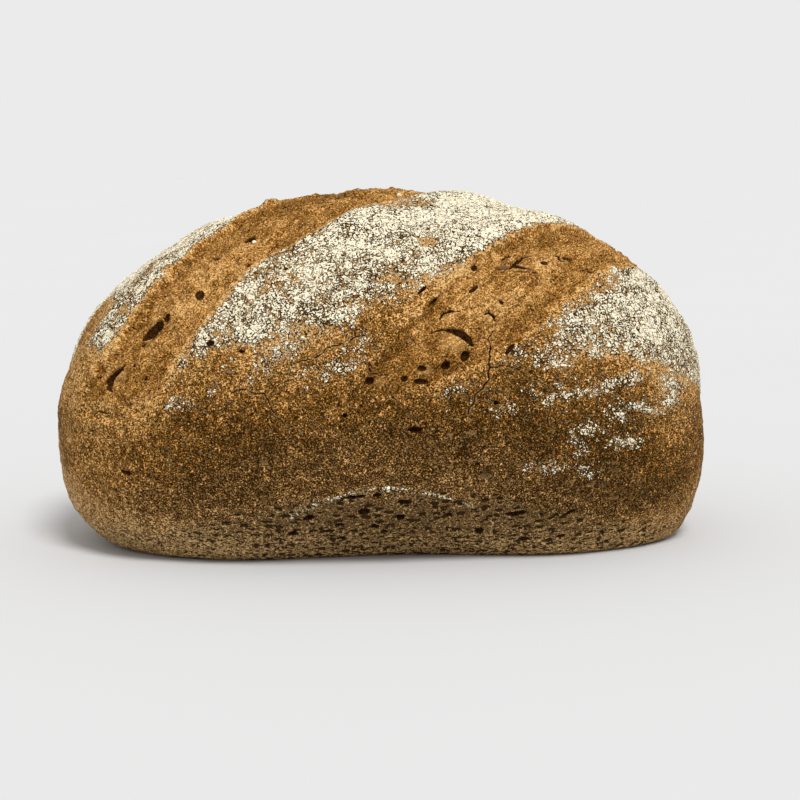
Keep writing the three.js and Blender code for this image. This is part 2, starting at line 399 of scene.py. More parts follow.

# Holes, painted dark inside as shade: x, s, half length, half width, tilt, depth
HOLES = [
    (-71, -60.8, 1.6, 2.4, -10, 2.0), (-88.8, -71.8, 5.7, 2.5, 50, 2.0),
    (-83.2, -67.2, 1.8, 1.3, 50, 1.4), (-92.6, -75.0, 0.7, 0.6, 0, 1.5),
    (-91.9, -78.6, 0.9, 0.7, 0, 1.5), (22.8, -92.0, 2.6, 1.7, 58, 2.0),
    (15.6, -95.6, 2.0, 1.5, 30, 2.2), (7.1, -96.7, 1.9, 1.2, 0, 1.3), (0.7, -100.4, 1.3, 1.2, 0, 1.0),
    (6.8, -101.6, 3.0, 1.1, -5, 1.1), (39.2, -89.3, 3.0, 0.9, 50, 1.3),
    (33.4, -110.0, 1.0, 1.0, 0, 1.6), (4.4, -119.7, 2.8, 1.1, 0, 1.6), (-20.4, -114, 1.0, 1.0, 0, 1.4),
    (-14.5, -110.5, 0.6, 0.6, 0, 1.0), (-11.5, -100.9, 1.8, 1.5, 30, 1.3),
    (-67.3, -83.7, 1.5, 1.3, 0, 1.6), (36.8, -71.9, 0.8, 0.8, 0, 1.2), (54.7, -52.6, 1.8, 1.0, 20, 1.4),
    (-64.2, -42.3, 1.7, 0.9, 20, 1.6), (-53.0, -51.1, 1.3, 1.0, 20, 1.4),
    (-52.3, -37.4, 2.6, 1.2, 30, 2.0), (-56.3, -88.1, 1.4, 0.7, -10, 1.6),
    (28.3, -56.9, 1.5, 0.9, 25, 1.4), (8.4, -66.8, 2.4, 0.6, 40, 1.4), (12.4, -70.7, 1.8, 0.5, 40, 1.3),
    (36.5, -71.5, 0.7, 0.6, 0, 1.2), (27.3, -65.9, 2.4, 0.8, 35, 1.2), (88.8, -75.9, 0.9, 0.9, 0, 1.2),
    (90.7, -37.6, 1.9, 1.5, 20, 2.4), (-98, -142.4, 2.4, 1.0, 0, 0.6), (42.3, -155.5, 4.6, 1.2, 0, 1.8),
    (61.5, -156.8, 3.0, 0.9, 25, 1.8), (27, -133.5, 1.2, 0.5, 0, 0.9),
    (-13.4, -151.8, 2.3, 1.8, 0, 1.8), (0, -155, 1.6, 1.4, 0, 1.8), (-5.3, -163, 1.6, 1.3, 0, 1.6),
    (-20.7, -166.5, 2.2, 1.0, 0, 1.4), (-26, -162, 3.1, 1.0, 5, 1.4), (-38.4, -163.5, 2.2, 1.2, 5, 1.4),
    (-18, -145.5, 4.6, 0.7, 6, 1.2), (-33, -155, 2.4, 1.4, 20, 1.4), (-9, -144.5, 1.8, 0.9, 0, 1.2),
    (1, -147.5, 2.8, 1.1, 0, 1.2), (-22, -158.5, 2.0, 1.0, 0, 1.3), (-9, -159.5, 2.5, 0.9, 0, 1.3),
    (17.3, -154.5, 1.7, 1.0, 0, 1.3), (29.6, -163.5, 1.8, 1.6, 0, 1.6), (46.5, -169, 2.3, 1.2, 0, 1.4),
    (60, -169, 2.0, 1.2, 0, 1.4),
]
# Shallow hollows and swellings, with the crust bent round them, in the same order
DENTS = [
    (-86, -72, 7.0, 3.6, 60, 0.8), (4.4, -121, 3.6, 2.4, 0, 0.5), (50, -155, 8.0, 2.6, 4, 0.9),
    (-60, -100, 9.0, 4.0, 10, 0.7), (3.0, -105.7, 2.0, 2.4, 0, -0.9), (-42.7, -3.7, 3.4, 2.6, 0, -1.3),
    (-30, -10, 6, 2.4, 20, -0.7), (-11, -8, 9, 4, 10, 0.8),
]
# Burst bubbles, steep on one side: the last value is where the steep side lies, in degrees from x
SCOOPS = [
    (18.3, -87.6, 7.2, 5.0, -14, 2.6, 45), (-100.8, -93.4, 6.0, 4.4, 58, 2.0, 150),
    (46.0, -56.0, 6.4, 3.4, 14, 1.4, 110), (17.6, -76.6, 3.4, 2.6, 0, 1.0, 110),
    (31.8, -77.4, 3.0, 2.8, 0, 1.1, 50), (8.6, -97.2, 4.2, 2.6, 0, 0.9, 80),
    (63.4, -48.6, 3.4, 2.0, 10, 1.2, 120), (-8.0, -101.5, 3.6, 2.2, 15, 0.9, 90),
]
# Torn rims and folds, painted dark as the shadow on their steep sides, as points (x, s, half width)
TEARS = [
    [(10.7, -83.6, 0.25), (14.6, -82.3, 0.45), (18.5, -82.5, 0.85), (21.7, -83.7, 1.35),
     (24.2, -85.8, 1.25), (25.7, -88.0, 0.6)],
    [(-98.3, -87.0, 0.6), (-101.1, -88.6, 1.2), (-103.3, -90.8, 1.6), (-104.3, -94.3, 1.6),
     (-104.3, -98.3, 1.1), (-103.0, -100.4, 0.5)],
    [(14.3, -78.0, 0.25), (15.6, -75.6, 0.45), (18.3, -74.5, 0.45), (21.5, -74.9, 0.25)],
    [(30.2, -76.3, 0.25), (32.3, -75.1, 0.4), (34.0, -76.6, 0.5), (34.3, -78.6, 0.3)],
    [(38.6, -54.2, 0.3), (39.5, -51.9, 0.5), (41.9, -50.3, 0.55), (44.6, -49.5, 0.3)],
    [(41.5, -56.6, 0.4), (44.2, -53.4, 0.8), (47.1, -50.9, 0.6), (49.8, -49.9, 0.3)],
    [(42.4, -55.6, 0.6), (46.1, -55.9, 1.0), (49.6, -57.0, 0.6)],
    [(42.8, -58.0, 0.3), (47.6, -58.8, 0.4), (51.6, -58.4, 0.3)],
    [(60.3, -46.8, 0.5), (61.8, -48.0, 0.9), (63.2, -48.9, 0.5)],
    [(61.8, -46.2, 0.25), (64.4, -46.6, 0.4), (65.9, -48.6, 0.3)],
    [(69.4, -48.5, 0.4), (71.7, -49.9, 0.45), (74.2, -50.9, 0.6), (75.7, -53.4, 0.4)],
]
TEAR_DEPTH = 1.4

# Cracks, painted dark inside as shade, as half width and then points (x, s)
CRACKS = [
    (0.34, [(33.5, -82.1), (31.8, -85.9), (32.4, -88.4), (31.8, -92.0)]),
    (0.52, [(31.8, -92.0), (31.0, -95.0), (31.4, -97.3), (30.9, -101.1), (29.2, -103.8)]),
    (0.36, [(29.2, -103.8), (27.0, -105.5), (25.7, -107.8), (25.3, -110.2), (23.7, -112.1),
            (23.3, -114)]),
    (0.36, [(31.4, -96.9), (35.6, -95.9), (39.0, -96.0), (41.6, -97.3), (44.5, -99.8), (48.6, -101.2)]),
    (0.3, [(48.6, -101.2), (51.6, -103.2), (53.4, -104.8), (56.0, -106.5)]),
    (0.3, [(31.8, -85.9), (29.8, -85.2), (28.0, -83.7)]),
    (0.32, [(53.3, -111.5), (53.0, -114.4), (52.4, -119.3), (54.5, -120.2)]),
    (0.26, [(2.9, -84.3), (6.4, -88.1), (8.5, -90.7)]),
    (0.26, [(2.9, -112.1), (4.8, -115.6), (5.7, -117.9)]),
    (0.32, [(-39.5, -94.6), (-35.3, -92.9), (-31.1, -92.0), (-29.1, -91.2), (-26.8, -88.7),
            (-24.2, -87.3)]),
    (0.36, [(-24.2, -87.3), (-19.3, -87.1), (-17.8, -85.6), (-16.2, -84.6), (-13.5, -84.6)]),
    (0.3, [(-16.2, -84.6), (-16.5, -83.2), (-16.1, -81.1)]),
    (0.32, [(-13.5, -93.5), (-10.7, -98.5), (-8.3, -98.5), (-5.4, -98.6), (-2.9, -100.0)]),
    (0.34, [(-60.1, -104.7), (-58.1, -103.1), (-54.8, -103.5), (-52.3, -104.9), (-48.9, -104.8)]),
    (0.34, [(-48.9, -104.8), (-47.3, -107.6), (-45.7, -111.4), (-43.6, -114.7), (-41.5, -117.0)]),
    (0.3, [(-41.5, -118.6), (-39.0, -117.5), (-35.7, -117.7)]),
    (0.28, [(-6.3, -102.6), (-4.2, -106.4), (-1.7, -109.0), (0.4, -111.4)]),
    (0.26, [(-110.6, -113.5), (-108.0, -111.5), (-104.9, -113.1)]),
    (0.3, [(-75.4, -106.6), (-70.9, -111.4), (-68.7, -110.6), (-65.6, -105.3)]),
    (0.26, [(-73.4, -116.9), (-72.8, -124.6)]),
]
CRACK_DEPTH = 0.8
CRACK_WIDTH = 0.6  # against the widths above


def by_x(x):
    """Vertex numbers in order of x, and a way to get those within a reach of a place."""
    order = np.argsort(x, kind="stable")
    ranked = x[order]

    def near(place, reach):
        first, last = np.searchsorted(ranked, [place - reach, place + reach])
        return order[first:last]

    return near


def oval(x, s, centre_x, centre_s, half_length, half_width, tilt):
    """Distance from an oval's middle, as a share of its half sizes."""
    turn = math.radians(tilt)
    dx, ds = x - centre_x, s - centre_s
    along = dx * math.cos(turn) + ds * math.sin(turn)
    across = ds * math.cos(turn) - dx * math.sin(turn)
    return np.sqrt((along / half_length) ** 2 + (across / half_width) ** 2)


def at_places(x, s, ovals):
    """Each oval's numbers, with the vertices that lie near it."""
    near = by_x(x)
    for numbers in ovals:
        reach = 2 * max(numbers[2], numbers[3])
        some = near(numbers[0], reach)
        yield *numbers, some[np.abs(s[some] - numbers[1]) < reach]


def within_ovals(x, s, ovals):
    """Each oval's last number, the vertices near it and how far out they lie, as a share of it."""
    for *sizes, number, some in at_places(x, s, ovals):
        yield number, some, oval(x[some], s[some], *sizes)


def from_line(x, s, start, end):
    """Distance from a line, and how far along it the nearest place lies, from 0 to 1."""
    dx, ds = end[0] - start[0], end[1] - start[1]
    share = ((x - start[0]) * dx + (s - start[1]) * ds) / (dx * dx + ds * ds)
    share = np.clip(share, 0, 1)
    return np.hypot(x - start[0] - share * dx, s - start[1] - share * ds), share


def line_distance(x, s, points):
    """Distance from a bent line."""
    return np.minimum.reduce([from_line(x, s, *ends)[0] for ends in zip(points, points[1:])])


# How the flour's edges blur, in mm before and after the edge
FRONT_BLUR = (-10, 7)
END_BLUR = (-5, 5)
BACK_BLUR = (-6, 12)
CUT_BLUR = (-1.4, 2.4)
FAR_END_BLUR = (4, 22)
BACK_PATCH, BACK_PATCH_STRENGTH = (0.5, 0.62), 0.9  # the noise that gives patches on the back
BACK_FADE = (-128, -96)  # and how far down they reach
BARE_FOOT = (160, 175)  # no flour from here down, as distances from the crest


def flour_density(x, s, inside, patch):
    """How densely flour lies: 0 bare, 0.5 half covered, 1 and more covered."""
    front_limit = knots(FLOUR_LIMIT, x)
    reach = knots([(-s_, x_) for x_, s_ in FLOUR_END], -s)
    end = smoothstep(x - reach, *END_BLUR)
    front = smoothstep(s - front_limit, *FRONT_BLUR) * end
    limit = BACK_LIMIT - 14 * np.sin(x / 31) - 8 * np.sin(x / 13 + 1)
    far_end = smoothstep(LENGTH / 2 - x, *FAR_END_BLUR)
    back = smoothstep(limit - s, *BACK_BLUR) * far_end
    density = np.where(s < 0, front, back) * knots(FLOUR_DEPTH, s)
    behind = smoothstep(patch, *BACK_PATCH) * smoothstep(-s, *BACK_FADE)
    density += np.where(s > 0, BACK_PATCH_STRENGTH * behind, 0)
    for strength, some, share in within_ovals(x, s, FLOUR_PATCHES):
        density[some] += strength * np.exp(-(share**2.5))
    for strength, some, share in within_ovals(x, s, DUST_PATCHES):
        density[some] = np.maximum(density[some], DUST_STRENGTH * strength * np.exp(-(share**3)))
    density = np.minimum(density, MOST_FLOUR) * smoothstep(-inside, *CUT_BLUR)
    for half_width, points in FLOUR_LINES:
        distance = line_distance(x, s, points)
        density = np.maximum(density, LINE_STRENGTH * np.exp(-((distance / half_width) ** 2)))
    return density * (1 - smoothstep(np.abs(s), *BARE_FOOT))


def pore_space(base, x, s):
    """Where a point lies among the pores, counted in pores."""
    shift = sampled(base, warp=noise(PORE_WARP_SCALE, output="Color"))["warp"]
    place = np.stack([x, np.abs(s), base[:, 1]], 1) * PORE_CELLS
    return place + (shift - 0.5) * PORE_WARP


# The porous foot starts this far round the loaf, and further round at its ends and on the back.
PORES_START, PORES_START_ENDS, PORES_START_BACK, PORES_START_SWING = 143, 34, 8, 16
PORES_REACH = 100  # half the foot's length along x
# The share of pores that are open in the foot, how much of it its ends lose, and on the sides
PORES_OPEN, PORES_OPEN_ENDS, PORES_OPEN_SIDES = 0.95, 0.35, 0.03


def along_foot(x):
    return np.minimum(np.abs(x) / PORES_REACH, 1.2)


def pore_top(x, s, patch):
    """How far round the loaf the porous foot starts."""
    ends = PORES_START_ENDS * along_foot(x) ** 2
    return PORES_START + ends + PORES_START_BACK * (s > 0) + (patch - 0.5) * PORES_START_SWING


def pore_cover(x, s, patch):
    """The share of pores that are open: most of them at the foot, and fewer at its ends."""
    down = np.abs(s)
    opened = PORES_OPEN - PORES_OPEN_ENDS * along_foot(x) ** 2
    foot = smoothstep(down - pore_top(x, s, patch), -1, 5) * opened
    few = PORES_OPEN_SIDES * smoothstep(down, 112, 126)
    under = 1 - 0.6 * smoothstep(down, 186, 200)
    return np.maximum(foot, few) * under * (1 - smoothstep(np.abs(x), 106, 120))


def pore_depth(place, cover):
    scale, share, _, least, more = PORE_LAYERS[0]
    found = sampled(
        place,
        away=cells(scale, flat=True),
        pick=cells(scale, output="Color", flat=True),
    )
    opened = smoothstep(cover * share - found["pick"][:, 0], 0, 0.05)
    past = found["away"] - more * found["pick"][:, 1]
    return (1 - smoothstep(past, least - PORE_RIM, least)) * opened


def random_pits(count):
    """Pin holes in the opened dough and on the crust."""
    pits = []
    for _ in range(count):
        size = rng.uniform(0.3, 0.7)
        place = rng.uniform(-110, 112), rng.uniform(-125, 125)
        pits.append((*place, size * rng.uniform(1, 1.7), size, rng.uniform(20, 60), size * 1.8))
    return pits


def carve(x, s, holes, sharpness=3.0):
    """Depth of the holes and how far down in one each vertex lies, from 0 to 1."""
    depth = np.zeros(len(x))
    share_down = np.zeros(len(x))
    for deep, some, share in within_ovals(x, s, holes):
        down = np.clip(1 - share**sharpness, 0, 1)
        depth[some] = np.maximum(depth[some], deep * down)
        share_down[some] = np.maximum(share_down[some], np.clip(2 * down, 0, 1))
    return depth, share_down


def dent(x, s):
    depth = np.zeros(len(x))
    for deep, some, share in within_ovals(x, s, DENTS):
        depth[some] += deep * (1 - smoothstep(share, 0.55, 1.15))
    return depth


def scoop(x, s, jitter):
    """Burst bubbles: their depth and their paler floor."""
    depth, floor = np.zeros((2, len(x)))
    for centre_x, centre_s, long, wide, tilt, deep, steep, some in at_places(x, s, SCOOPS):
        across, up = x[some] + jitter[some, 0], s[some] + jitter[some, 1]
        share = oval(across, up, centre_x, centre_s, long, wide, tilt)
        bearing = np.arctan2(up - centre_s, across - centre_x) - math.radians(steep)
        toward = 0.5 + 0.5 * np.cos(bearing)
        bowl = (1 - smoothstep(share, 0.72, 1.02)) * (0.25 + 0.75 * share * toward)
        depth[some] = np.maximum(depth[some], deep * bowl)
        floor[some] = np.maximum(floor[some], 1 - smoothstep(share, 0.5, 0.9))
    return depth, floor


def torn(x, s, jitter):
    """How far down in a tear each vertex lies, from 0 to 1."""
    down = np.zeros(len(x))
    near = by_x(x)
    for points in TEARS:
        for (x0, s0, start), (x1, s1, end) in zip(points, points[1:]):
            some = near((x0 + x1) / 2, abs(x1 - x0) / 2 + 3)
            place = x[some] + jitter[some, 0], s[some] + jitter[some, 1]
            distance, share = from_line(*place, (x0, s0), (x1, s1))
            width = start + (end - start) * share
            down[some] = np.maximum(down[some], np.clip(1.7 - 1.5 * distance / width, 0, 1))
    return down


def crack_field(x, s, jitter):
    """How far down in a crack each vertex lies, and the curled rim beside it, from 0 to 1."""
    down = np.zeros(len(x))
    rim = np.zeros(len(x))
    near = by_x(x)
    for half_width, points in CRACKS:
        low = min(p[0] for p in points)
        high = max(p[0] for p in points)
        some = near((low + high) / 2, (high - low) / 2 + 3)
        distance = line_distance(x[some] + jitter[some, 0], s[some] + jitter[some, 1], points)
        share = distance / (half_width * CRACK_WIDTH)
        down[some] = np.maximum(down[some], np.clip(1.5 - share, 0, 1))
        rim[some] = np.maximum(rim[some], np.exp(-(((share - 2.2) / 1.1) ** 2)))
    return down, rim


# Bands of the crust, from where each starts to where it is full: distances from the crest round
# the loaf, and along it from the middle towards its ends
SIDE = (90, 124)
UNDER_CUTS = (84, 116)
FOOT = (140, 180)
FOOT_EDGE = (156, 172)
LEFT_END = (62, 106)
RIGHT_END = (84, 122)
# What the bands add to the tone; the foot's two make it paler, as painted light
OPENED_TONE, CRUST_TONE, SIDE_TONE, FOOT_PAINTED_LIGHT, FOOT_EDGE_PAINTED_LIGHT = 0.25, 0.1, 0.54, -0.4, -0.4
LEFT_SHARE, RIGHT_SHARE, FOOT_SHARE = 0.3, 0.6, 0.25  # what is left of that at the ends
# Bands along the cuts: their middle, in mm inside the edge, their width, and their tone
CUT_SIDE, CUT_SIDE_TONE = (2.5, 3), 0.04
# A painted highlight: paler just inside each cut's lip
CUT_EDGE, LIP_PAINTED_HIGHLIGHT = (0.3, 0.7), -0.12


def band(distance, middle, width):
    return np.exp(-(((distance - middle) / width) ** 2))


def crust_tone(x, s, inside, lumps, patch):
    """How dark the crust is: 0 is golden and 1 is dark brown, with painted light on the foot and a
    painted highlight along the cuts' lips.
    """
    down = np.abs(s)
    low = smoothstep(down, *SIDE)
    left = smoothstep(-x, *LEFT_END)
    right = smoothstep(x, *RIGHT_END)
    crust = np.maximum(smoothstep(-inside, 0, 3), smoothstep(down, *UNDER_CUTS))
    tone = OPENED_TONE + CRUST_TONE * crust
    tone += SIDE_TONE * low * (1 - (1 - LEFT_SHARE) * left) * (1 - (1 - RIGHT_SHARE) * right)
    # Painted light: the downward-facing foot and its edge by the floor are made paler against their
    # shade and the floor's contact shadow
    foot = FOOT_PAINTED_LIGHT * smoothstep(down, *FOOT) + FOOT_EDGE_PAINTED_LIGHT * smoothstep(down, *FOOT_EDGE)
    tone += foot * (1 - (1 - FOOT_SHARE) * np.maximum(left, right))
    # A darker band inside each cut, and a painted highlight along its lip
    tone += CUT_SIDE_TONE * band(inside, *CUT_SIDE) * (1 - low) + LIP_PAINTED_HIGHLIGHT * band(inside, *CUT_EDGE)
    for darker, some, share in within_ovals(x, s, TONE_PATCHES):
        tone[some] += darker * np.exp(-(share**2))
    return tone + (lumps - 0.5) * 0.7 * (1 - 0.4 * low) + (patch - 0.5) * 0.5


# ---------------------------------------------------------------- meshes


def mesh_object(name, points, faces, smooth=True):
    """A mesh object from points in mm and faces of one size."""
    mesh = bpy.data.meshes.new(name)
    size = faces.shape[1]
    mesh.vertices.add(len(points))
    mesh.vertices.foreach_set("co", (points * MM).astype(np.float32).ravel())
    mesh.loops.add(faces.size)
    mesh.loops.foreach_set("vertex_index", faces.astype(np.int32).ravel())
    mesh.polygons.add(len(faces))
    mesh.polygons.foreach_set("loop_start", np.arange(0, faces.size, size, dtype=np.int32))
    mesh.polygons.foreach_set("use_smooth", np.full(len(faces), smooth))
    mesh.update(calc_edges=True)
    piece = bpy.data.objects.new(name, mesh)
    bpy.context.scene.collection.objects.link(piece)
    return piece


def store(mesh, name, values):
    kind, key = ("FLOAT_VECTOR", "vector") if values.ndim == 2 else ("FLOAT", "value")
    data = mesh.attributes.new(name, kind, "POINT").data
    data.foreach_set(key, values.astype(np.float32).ravel())


def read(mesh, name, width):
    values = np.empty(len(mesh.vertices) * width, np.float32)
    if name == "position":
        mesh.vertices.foreach_get("co", values)
    else:
        mesh.attributes[name].data.foreach_get("vector" if width == 3 else "value", values)
    return values.reshape(-1, 3).astype(float) if width == 3 else values.astype(float)


def surface_fields(base):
    """Everything that is known of points of the plain loaf: noise, cuts, flour, pores."""
    x = base[:, 0]
    girth = girth_of(base)
    s = girth * GIRTH_MM
    f = sampled(
        base,
        lumps=noise(0.045, 3),
        bumps=noise(0.17, 3),
        grit=GRIT,
        patch=noise(0.1, 3),
        jitter=noise(0.35, 2, output="Color"),
        plates=cells(PLATE_SCALE, "DISTANCE_TO_EDGE"),
    )
    inside = np.full(len(base), -1e3)
    across = np.zeros(len(base))
    for cut, left_edge, right_edge in zip(CUTS, LEFT_EDGES, RIGHT_EDGES):
        depth, cross = depth_in_cut(cut, left_edge, right_edge, x, girth)
        across = np.where(depth > inside, cross, across)
        inside = np.maximum(inside, depth)
    inside += (f["bumps"] - 0.5) * 6.0 + (f["grit"] - 0.5) * 4.5
    f["jitter"] = (f["jitter"][:, :2] - 0.5) * 2.0
    f.update(x=x, s=s, inside=inside)
    f["grain"] = np.stack([across * 0.34, (s + 0.7 * across) * 0.16, base[:, 1] * 0.05], 1)
    f["fold"] = sampled(f["grain"], fold=FOLD)["fold"]
    f["flour"] = flour_density(x, s, inside, f["patch"])
    f["pore_place"] = pore_space(base, x, s)
    f["porous"] = pore_cover(x, s, f["patch"])
    over = np.abs(s) - pore_top(x, s, f["patch"])
    f["foot"] = 0.55 * smoothstep(over, -34, -8) + 0.45 * smoothstep(over, -8, 4)
    f["foot"] *= 1 - 0.4 * smoothstep(x, 50, 90)
    return f


# Heights of the fine relief, in mm
LUMP_HEIGHT = 1.8
BUMP_HEIGHT, OPENED_BUMP_HEIGHT = 1.6, 2.4
GRIT_HEIGHT = 0.5
FOLD_HEIGHT, CREST_FOLD_HEIGHT = 1.4, 2.2
FOLD_CREASE = 0.3
FLOUR_HEIGHT = 0.35
RIM_HEIGHT = 0.22
CREST_REACH = 60.0  # how far from the crest the tall folds reach
PIT_COUNT = 90


def uneven_height(f, covered):
    """Lumps, folds of the opened dough and plates of flour."""
    opened = smoothstep(f["inside"], 0, 3)
    crest = np.exp(-((f["s"] / CREST_REACH) ** 2))
    bumps = (f["bumps"] - 0.5) * (BUMP_HEIGHT + OPENED_BUMP_HEIGHT * opened)
    height = (f["lumps"] - 0.5) * LUMP_HEIGHT + bumps
    height += (f["grit"] - 0.5) * GRIT_HEIGHT
    crease = 1 - smoothstep(np.abs(f["fold"] - 0.5), 0, 0.05)
    folds = (f["fold"] - 0.5) * (FOLD_HEIGHT + CREST_FOLD_HEIGHT * crest) - FOLD_CREASE * crease
    between_plates = 1 - smoothstep(f["plates"], 0, 0.06)
    return height + opened * folds + covered * FLOUR_HEIGHT * (1 - 0.9 * between_plates)


def hollows(f, covered):
    """Holes, pits, bubbles and pores, then cracks and tears: how deep they are and how they show, with
    the shade painted into holes, pits, cracks and tears.
    """
    x, s = f["x"], f["s"]
    pores = pore_depth(f["pore_place"], f["porous"])
    holes, in_hole = carve(x, s, HOLES)
    pits, in_pit = carve(x, s, random_pits(PIT_COUNT), 2.0)
    burst, floor = scoop(x, s, f["jitter"] * 0.4)
    tear = torn(x, s, f["jitter"] * 0.3)
    in_crack, rim = crack_field(x, s, f["jitter"])
    depth = dent(x, s) + holes + burst + pits * (1 - covered) + pores * PORE_DEPTH
    split = rim * RIM_HEIGHT - in_crack * CRACK_DEPTH - tear * TEAR_DEPTH
    # Painted shade: how dark the holes, open pits, cracks and tears are painted
    hollow = np.maximum.reduce([in_hole, 0.75 * in_pit * (1 - covered), in_crack, tear])
    near = np.maximum.reduce([in_hole > 0, in_crack > 0, rim > 0.3, tear > 0])
    return depth, split, hollow, np.maximum(rim, floor) * (1 - tear), near


def crust_points():
    """The loaf's fine surface: its points, quads, the fields that colour it, and where it is fine."""
    places, quads = box_grid(GRID)
    directions = np.tan((places * 2 - 1) * math.pi / 4) * HALF_SIZE
    directions /= np.linalg.norm(directions, axis=1)[:, None]
    base = surface_along(directions, MIDDLE)
    outward = outward_at(base)
    f = surface_fields(base)
    raised = smoothstep(base[:, 2], 0, BELLY_HEIGHT)
    form = raised * (cut_relief(f["inside"]) + swell(base))
    covered = smoothstep(f["flour"] + (f["grit"] - 0.5) * 1.2, 0.35, 0.75)
    depth, split, hollow, rim, near_hollow = hollows(f, covered)
    fine = uneven_height(f, covered) - depth + split
    on_base = smoothstep(base[:, 2], 0, 4)
    points = base + outward * (form + fine * (0.15 + 0.85 * on_base))[:, None]
    points[:, 1] += cove(base)
    fresh = 1 - smoothstep(np.abs(f["s"]), 88, 116)  # further down, opened dough looks like crust
    fields = {name: f[name] for name in ("grain", "pore_place", "porous", "flour", "foot")}
    fields.update(
        rest=base,
        opened=np.clip(f["inside"], -4, 12) * fresh - 2 * (1 - fresh),
        hollow=hollow,
        rim=rim,
        tone=crust_tone(f["x"], f["s"], f["inside"], f["lumps"], f["patch"]),
    )
    at_edge = (np.abs(f["inside"] - 0.6) < 0.7) & (f["s"] < 20)
    return fitted(points), quads, fields, near_hollow | at_edge


def fitted(points):
    """Brings the uneven loaf into the frame's box."""
    low, high = points.min(0), points.max(0)
    points = (points - (low + high) / 2) * (CAD_HIGH - CAD_LOW) / (high - low)
    return points + (CAD_LOW + CAD_HIGH) / 2


def thinned(piece, faces, detail):
    """Replaces a dense mesh by one with fewer triangles, which keeps its stored fields."""
    group = piece.vertex_groups.new(name="even")
    group.add(np.flatnonzero(~detail).tolist(), 1.0, "REPLACE")
    group.add(np.flatnonzero(detail).tolist(), DETAIL_WEIGHT, "REPLACE")
    modifier = piece.modifiers.new("thin", "DECIMATE")
    modifier.ratio = faces / (2 * len(piece.data.polygons))
    modifier.use_collapse_triangulate = True
    modifier.vertex_group = group.name
    modifier.vertex_group_factor = 1.0
    bpy.context.view_layer.update()
    graph = bpy.context.evaluated_depsgraph_get()
    mesh = bpy.data.meshes.new_from_object(piece.evaluated_get(graph))
    piece.modifiers.clear()
    piece.vertex_groups.clear()
    dense = piece.data
    piece.data = mesh
    bpy.data.meshes.remove(dense)
    mesh.name = piece.name
    return mesh


# Where each side of the loaf lies on the unrolled map: the axis it faces, its sign, the axes
# that run across and up the map, and its low and high corner.
MAP_WIDTH, MAP_HEIGHT = 375.0, 490.0
MAP_MARGIN = 0.03
MAP_SIDES = [
    (1, -1, 0, 2, (0, 0), (250, 115)),
    (1, 1, 0, 2, (0, 115), (250, 230)),
    (2, 1, 0, 1, (0, 230), (250, 360)),
    (2, -1, 0, 1, (0, 360), (250, 490)),
    (0, -1, 1, 2, (250, 0), (375, 115)),
    (0, 1, 1, 2, (250, 115), (375, 230)),
]


def add_map(mesh):
    """Unrolls the six sides of the loaf onto one map."""
    loops = np.empty(len(mesh.loops), np.int32)
    mesh.loops.foreach_get("vertex_index", loops)
    size = len(mesh.loops) // len(mesh.polygons)
    rest = read(mesh, "rest", 3)
    toward = (rest - MIDDLE) / HALF_SIZE
    corner = toward[loops].reshape(-1, size, 3)
    centre = corner.mean(1)
    facing = np.abs(centre).argmax(1)
    sign = np.sign(centre[np.arange(len(centre)), facing])
    uv = np.zeros((len(corner), size, 2))
    for axis, side, across, up, low, high in MAP_SIDES:
        mine = (facing == axis) & (sign == side)
        away = np.abs(corner[mine][:, :, axis])
        for k, direction in enumerate((across, up)):
            share = np.arctan(corner[mine][:, :, direction] / away) * 4 / math.pi
            share = (share * (1 - MAP_MARGIN) + 1) / 2
            span = (MAP_WIDTH, MAP_HEIGHT)[k]
            uv[mine, :, k] = (low[k] + share * (high[k] - low[k])) / span
    mesh.uv_layers.new(name="OFBake").data.foreach_set("uv", uv.astype(np.float32).ravel())


# ---------------------------------------------------------------- materials


def put(tree, kind, inputs=None, **settings):
    """Adds a node. An input is a plain value or another node's output."""
    made = tree.nodes.new(kind)
    for key, value in settings.items():
        setattr(made, key, value)
    for key, value in (inputs or {}).items():
        if isinstance(value, bpy.types.NodeSocket):
            tree.links.new(value, made.inputs[key])
        else:
            made.inputs[key].default_value = value
    return made


def maths(tree, operation, *values, clamp=False):
    made = put(tree, "ShaderNodeMath", dict(enumerate(values)), operation=operation)
    made.use_clamp = clamp
    return made.outputs[0]


def between(tree, value, low, high, to_low=0.0, to_high=1.0):
    inputs = {"Value": value, "From Min": low, "From Max": high}
    inputs.update({"To Min": to_low, "To Max": to_high})
    return put(tree, "ShaderNodeMapRange", inputs, interpolation_type="SMOOTHSTEP").outputs[0]


def linear(value):
    value /= 255
    return value / 12.92 if value <= 0.04045 else ((value + 0.055) / 1.055) ** 2.4


def colour(red, green, blue):
    """A colour as it shows on screen, from 0 to 255, as Blender wants it."""
    return linear(red), linear(green), linear(blue), 1.0


def blended(tree, share, first, second, mode="MIX"):
    made = tree.nodes.new("ShaderNodeMix")
    made.data_type = "RGBA"
    made.blend_type = mode
    for socket, value in zip((made.inputs[0], made.inputs[6], made.inputs[7]), (share, first, second)):
        if isinstance(value, bpy.types.NodeSocket):
            tree.links.new(value, socket)
        else:
            socket.default_value = value
    return made.outputs[2]


def ramp(tree, value, *stops):
    made = put(tree, "ShaderNodeValToRGB", {"Fac": value})
    elements = made.color_ramp.elements
    while len(elements) < len(stops):
        elements.new(0.5)
    for element, (place, shade) in zip(elements, stops):
        element.position = place
        element.color = shade
    return made.outputs[0]


def attribute(tree, name, output):
    return put(tree, "ShaderNodeAttribute", attribute_name=name).outputs[output]


def texture(tree, vector, spec):
    kind, output, settings, inputs = spec
    return output_of(put(tree, kind, {"Vector": vector, **inputs}, **settings), output)


def new_material(name):
    material = bpy.data.materials.new(name)
    material.use_nodes = True
    tree = material.node_tree
    return material, tree, tree.nodes["Principled BSDF"]


